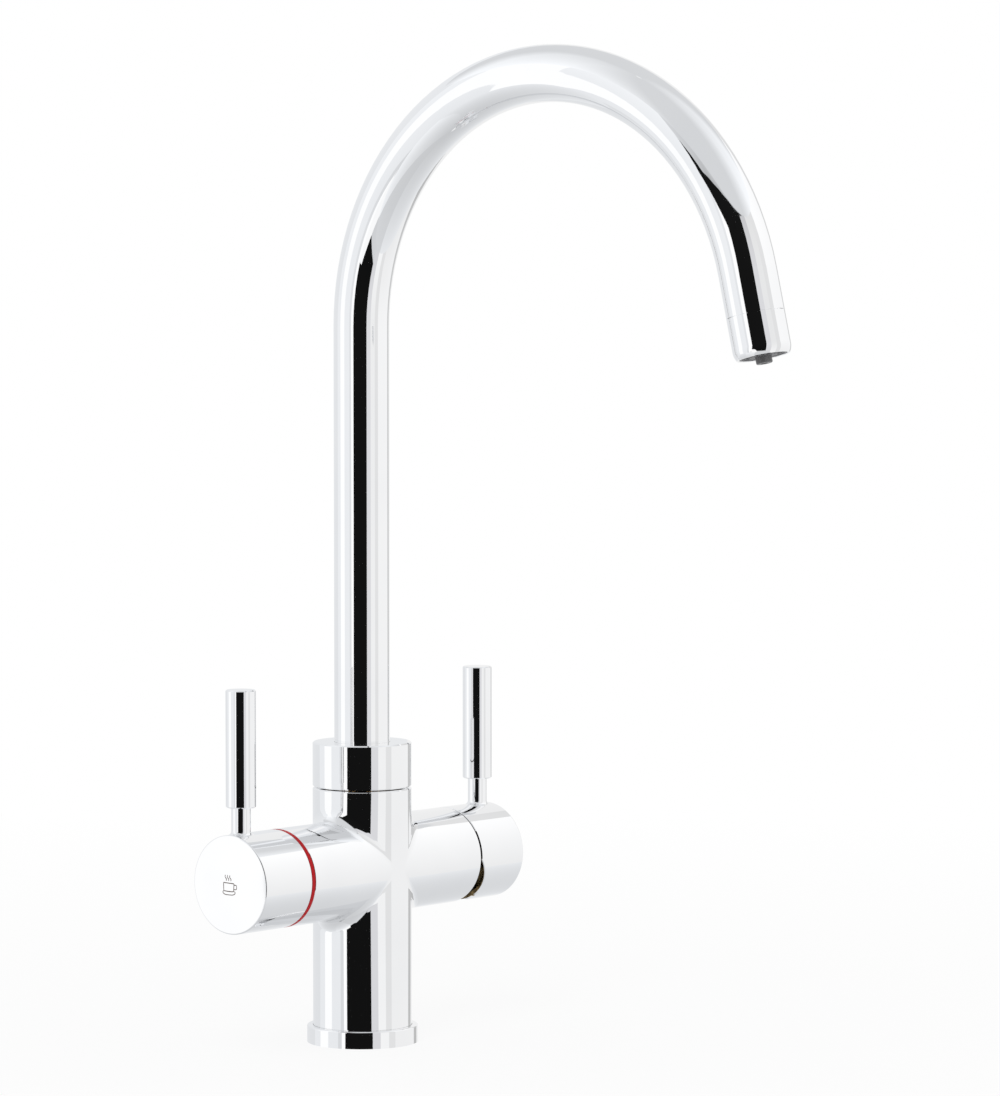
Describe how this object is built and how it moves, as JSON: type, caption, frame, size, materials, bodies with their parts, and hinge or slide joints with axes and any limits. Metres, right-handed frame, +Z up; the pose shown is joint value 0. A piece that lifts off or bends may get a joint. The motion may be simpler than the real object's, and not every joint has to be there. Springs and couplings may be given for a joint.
{
  "type": "boiling water tap",
  "caption": "Chromed kitchen tap: swan-neck swivel spout, cross barrel with a boiling water handle and a mixer lever.",
  "frame": {"origin": "centre of the foot, at the mouth of the stud's hole, in the worktop's plane", "axes": "+Z up along the column; -Y towards the user, where the spout points at rest; the barrel lies along X with the boiling water handle at -X and the mixer handle at +X"},
  "size_m": [0.1534, 0.2317, 0.3922],
  "materials": {
    "chrome": "polished",
    "red_plastic": "gloss",
    "brass": "turned",
    "steel": "plain",
    "black_plastic": "satin",
    "grey_plastic": "satin",
    "tip_grey": "satin",
    "hose_white": "satin",
    "rubber": "matte",
    "valve_disc": "polished ceramic"
  },
  "bodies": {
    "tap_base": {"tap_body": "chrome", "base_ring": "chrome", "base_seal": "rubber", "red_ring": "red_plastic", "lower_bush": "black_plastic", "upper_bush": "black_plastic", "spout_retaining_ring": "steel", "hose_seal": "rubber", "boiling_port_seals": "rubber", "boiling_fixed_disc": "valve_disc", "boiling_valve_housing": "brass", "boiling_valve_nut": "brass", "boiling_return_spring": "steel", "mixer_port_seals": "rubber", "mixer_fixed_disc": "valve_disc", "mixer_cartridge": "grey_plastic", "mixer_nut": "brass", "mixer_shroud": "black_plastic"},
    "spout": {"spout_collar": "chrome", "spout_spigot": "brass", "spout_seals": "rubber", "spout_tube": "chrome", "boiling_hose": "hose_white", "nozzle_sleeve": "chrome", "flow_straightener": "grey_plastic", "straightener_washer": "rubber", "boiling_tip": "tip_grey"},
    "boiling_handle": {"boiling_handle_knob": "chrome", "boiling_grip": "chrome", "boiling_grub_screw": "steel", "boiling_spindle": "brass", "boiling_turning_disc": "valve_disc"},
    "mixer_turning_part": {"mixer_rotor": "black_plastic", "mixer_pivot_pin": "steel"},
    "mixer_handle": {"mixer_handle_knob": "chrome", "mixer_grip": "chrome", "mixer_grub_screw": "steel", "mixer_spindle": "brass"},
    "mixer_disc": {"mixer_sliding_disc": "valve_disc", "mixer_disc_carrier": "black_plastic"}
  },
  "joints": [
    {"name": "spout_swivel", "type": "hinge", "parent": "tap_base", "child": "spout", "pos_m": [0, 0, 0.1], "axis": [0, 0, 1], "range_deg": [-180, 180]},
    {"name": "boiling_handle_turn", "type": "hinge", "parent": "tap_base", "child": "boiling_handle", "pos_m": [-0.0632, 0, 0.0696], "axis": [1, 0, 0], "range_deg": [0, 90], "stiffness_Nm_per_rad": 0.12, "springref_deg": -17.19},
    {"name": "mixer_temperature_turn", "type": "hinge", "parent": "tap_base", "child": "mixer_turning_part", "pos_m": [0.04, 0, 0.0696], "axis": [1, 0, 0], "range_deg": [-45, 45]},
    {"name": "mixer_flow_tip", "type": "hinge", "parent": "mixer_turning_part", "child": "mixer_handle", "pos_m": [0.04, 0, 0.0696], "axis": [0, 1, 0], "range_deg": [0, 15]},
    {"name": "mixer_disc_slide", "type": "slide", "parent": "mixer_turning_part", "child": "mixer_disc", "axis": [0, 0, 1], "range_m": [0, 0.00272]}
  ],
  "couplings": [
    {"joint": "mixer_disc_slide", "follows": "mixer_flow_tip", "m_per_rad": 0.01038}
  ]
}
